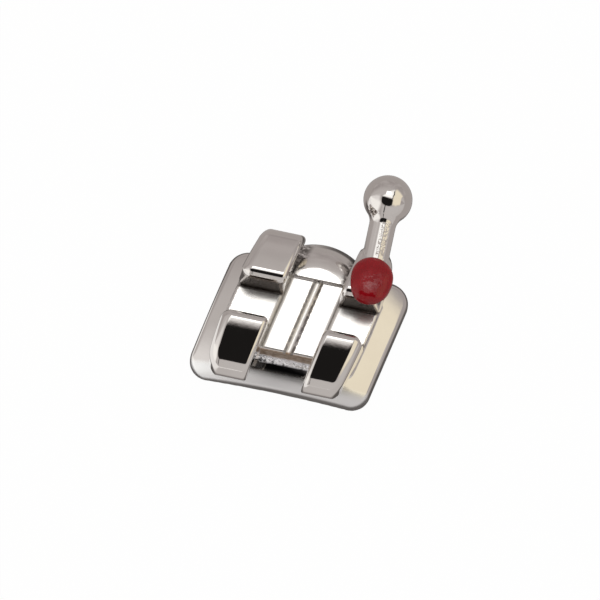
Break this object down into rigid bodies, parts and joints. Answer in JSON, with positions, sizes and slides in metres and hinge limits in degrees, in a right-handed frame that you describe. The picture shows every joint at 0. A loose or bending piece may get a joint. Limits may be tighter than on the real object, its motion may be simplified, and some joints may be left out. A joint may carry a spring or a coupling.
{
  "type": "orthodontic bracket",
  "caption": "Moulded steel twin bracket with tie wings, an archwire slot, a ball hook, a curved bonding pad and a red marking dot.",
  "frame": {"origin": "middle of the bonding pad, on the plane that its two side edges rest on", "axes": "+X along the archwire slot, +Y towards the gum, +Z away from the tooth"},
  "size_m": [0.0032, 0.0038, 0.002],
  "materials": {
    "polished_steel": "electropolished, mirror bright, with faint moulding marks",
    "red_enamel": "glossy brushed-on drop"
  },
  "bodies": {
    "root": {"bracket_body": "polished_steel", "colour_mark": "red_enamel"}
  },
  "joints": []
}
